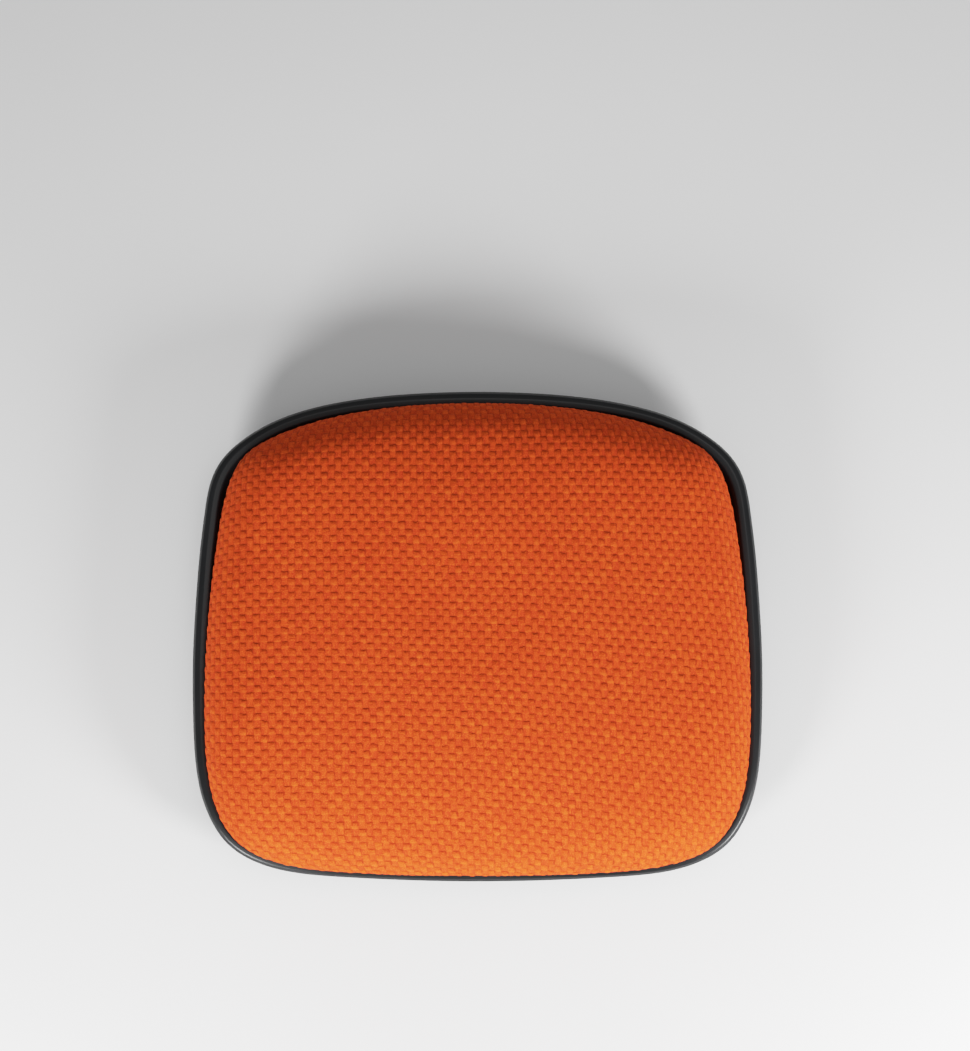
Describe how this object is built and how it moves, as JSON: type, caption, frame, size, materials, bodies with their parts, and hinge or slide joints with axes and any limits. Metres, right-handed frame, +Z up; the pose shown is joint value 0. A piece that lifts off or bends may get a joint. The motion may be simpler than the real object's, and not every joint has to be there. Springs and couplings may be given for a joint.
{
  "type": "seat cushion",
  "caption": "Upholstered office-chair seat: an orange basket-weave foam cushion on a plywood board, dropped into a black moulded shell with a rolled lip.",
  "frame": {"origin": "centre of the seat in plan, on the plane of the mounting pads under the shell", "axes": "+X across the seat to the sitter's left, +Y from the front edge to the rear, +Z up"},
  "size_m": [0.5082, 0.438, 0.0883],
  "materials": {
    "black_polypropylene": "satin, fine moulded grain",
    "plywood": "unfinished birch ply",
    "foam": "open-cell moulded foam",
    "orange_fabric": "two-by-two basket weave",
    "zinc_steel": "zinc plated",
    "black_steel": "black oxide"
  },
  "bodies": {
    "root": {"seat_shell": "black_polypropylene", "seat_board": "plywood", "foam_pad": "foam", "fabric_cover": "orange_fabric", "mechanism_tee_nut_1": "zinc_steel", "mechanism_tee_nut_2": "zinc_steel", "mechanism_tee_nut_3": "zinc_steel", "mechanism_tee_nut_4": "zinc_steel", "arm_tee_nut_1": "zinc_steel", "arm_tee_nut_2": "zinc_steel", "arm_tee_nut_3": "zinc_steel", "arm_tee_nut_4": "zinc_steel", "arm_tee_nut_5": "zinc_steel", "arm_tee_nut_6": "zinc_steel", "shell_screw_1": "black_steel", "shell_screw_2": "black_steel", "shell_screw_3": "black_steel", "shell_screw_4": "black_steel", "shell_screw_5": "black_steel", "shell_screw_6": "black_steel", "shell_screw_7": "black_steel", "shell_screw_8": "black_steel", "cover_staple_01": "zinc_steel", "cover_staple_02": "zinc_steel", "cover_staple_03": "zinc_steel", "cover_staple_04": "zinc_steel", "cover_staple_05": "zinc_steel", "cover_staple_06": "zinc_steel", "cover_staple_07": "zinc_steel", "cover_staple_08": "zinc_steel", "cover_staple_09": "zinc_steel", "cover_staple_10": "zinc_steel", "cover_staple_11": "zinc_steel", "cover_staple_12": "zinc_steel", "cover_staple_13": "zinc_steel", "cover_staple_14": "zinc_steel", "cover_staple_15": "zinc_steel", "cover_staple_16": "zinc_steel", "cover_staple_17": "zinc_steel", "cover_staple_18": "zinc_steel", "cover_staple_19": "zinc_steel", "cover_staple_20": "zinc_steel", "cover_staple_21": "zinc_steel", "cover_staple_22": "zinc_steel", "cover_staple_23": "zinc_steel", "cover_staple_24": "zinc_steel", "cover_staple_25": "zinc_steel", "cover_staple_26": "zinc_steel", "cover_staple_27": "zinc_steel", "cover_staple_28": "zinc_steel", "cover_staple_29": "zinc_steel", "cover_staple_30": "zinc_steel"}
  },
  "joints": []
}
